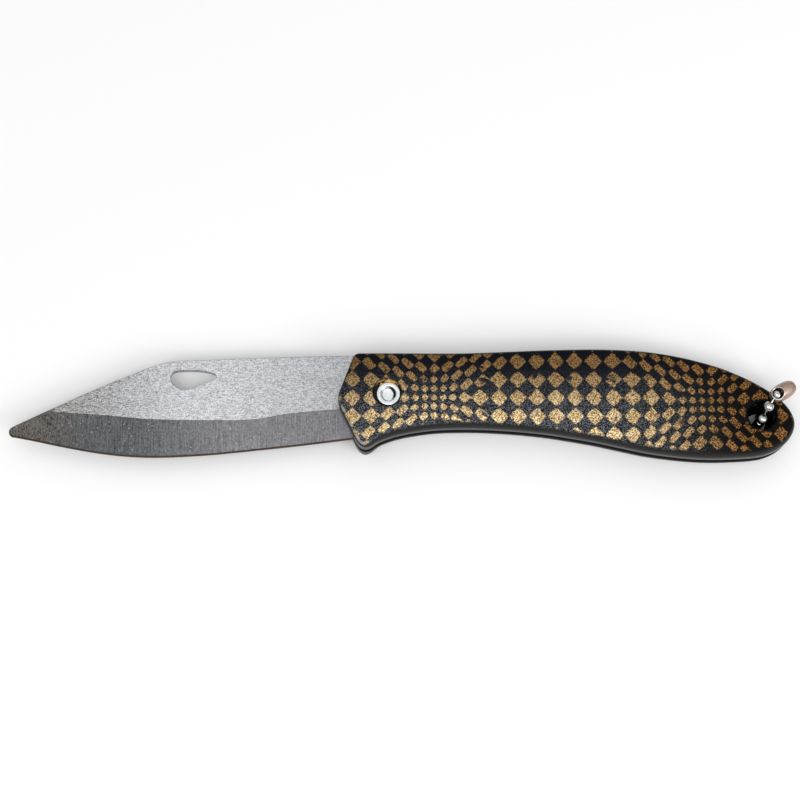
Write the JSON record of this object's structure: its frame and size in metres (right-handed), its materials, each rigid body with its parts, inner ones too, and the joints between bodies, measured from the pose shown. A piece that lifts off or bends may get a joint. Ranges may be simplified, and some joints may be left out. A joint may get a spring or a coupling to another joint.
{
  "type": "folding camping knife",
  "caption": "Folding knife, open, with a drop-point blade, a thumb hole, a printed handle and a bead chain through the tail.",
  "frame": {"origin": "middle of the bottom of the whole knife, open and lying on its back handle half", "axes": "+X from the blade's tip to the tail, +Y towards the spine, +Z out of the front face"},
  "size_m": [0.1969, 0.028, 0.0158],
  "materials": {
    "printed_plastic": "gold check print on black, glossy",
    "blade_steel": "satin",
    "plain_steel": "plain",
    "rivet_nickel": "nickel plate",
    "bronze": "plain",
    "chain_nickel": "polished nickel plate"
  },
  "bodies": {
    "handle": {"front_handle_half": "printed_plastic", "back_handle_half": "printed_plastic", "spine_spacer": "plain_steel", "pivot_rivet": "rivet_nickel", "pivot_cap": "rivet_nickel", "front_friction_washer": "bronze", "back_friction_washer": "bronze", "stop_pin": "plain_steel", "dowel_front": "plain_steel", "dowel_middle": "plain_steel", "dowel_tail": "plain_steel"},
    "blade": {"blade": "blade_steel"},
    "chain": {"chain_coupling": "chain_nickel", "chain_bead_01": "chain_nickel", "chain_bead_02": "chain_nickel", "chain_bead_03": "chain_nickel", "chain_bead_04": "chain_nickel", "chain_bead_05": "chain_nickel", "chain_bead_06": "chain_nickel", "chain_bead_07": "chain_nickel", "chain_bead_08": "chain_nickel", "chain_bead_09": "chain_nickel", "chain_bead_10": "chain_nickel", "chain_bead_11": "chain_nickel", "chain_link_01": "chain_nickel", "chain_link_02": "chain_nickel", "chain_link_03": "chain_nickel", "chain_link_04": "chain_nickel", "chain_link_05": "chain_nickel", "chain_link_06": "chain_nickel", "chain_link_07": "chain_nickel", "chain_link_08": "chain_nickel", "chain_link_09": "chain_nickel", "chain_link_10": "chain_nickel"}
  },
  "joints": [
    {"name": "blade_pivot", "type": "hinge", "parent": "handle", "child": "blade", "pos_m": [-0.00295, 0.0026, 0.0057], "axis": [0, 0, 1], "range_deg": [0, 167]},
    {"name": "chain_swing", "type": "hinge", "parent": "handle", "child": "chain", "pos_m": [0.09015, -0.0036, 0.0057], "axis": [0, 0, 1], "range_deg": [-25, 25]}
  ]
}
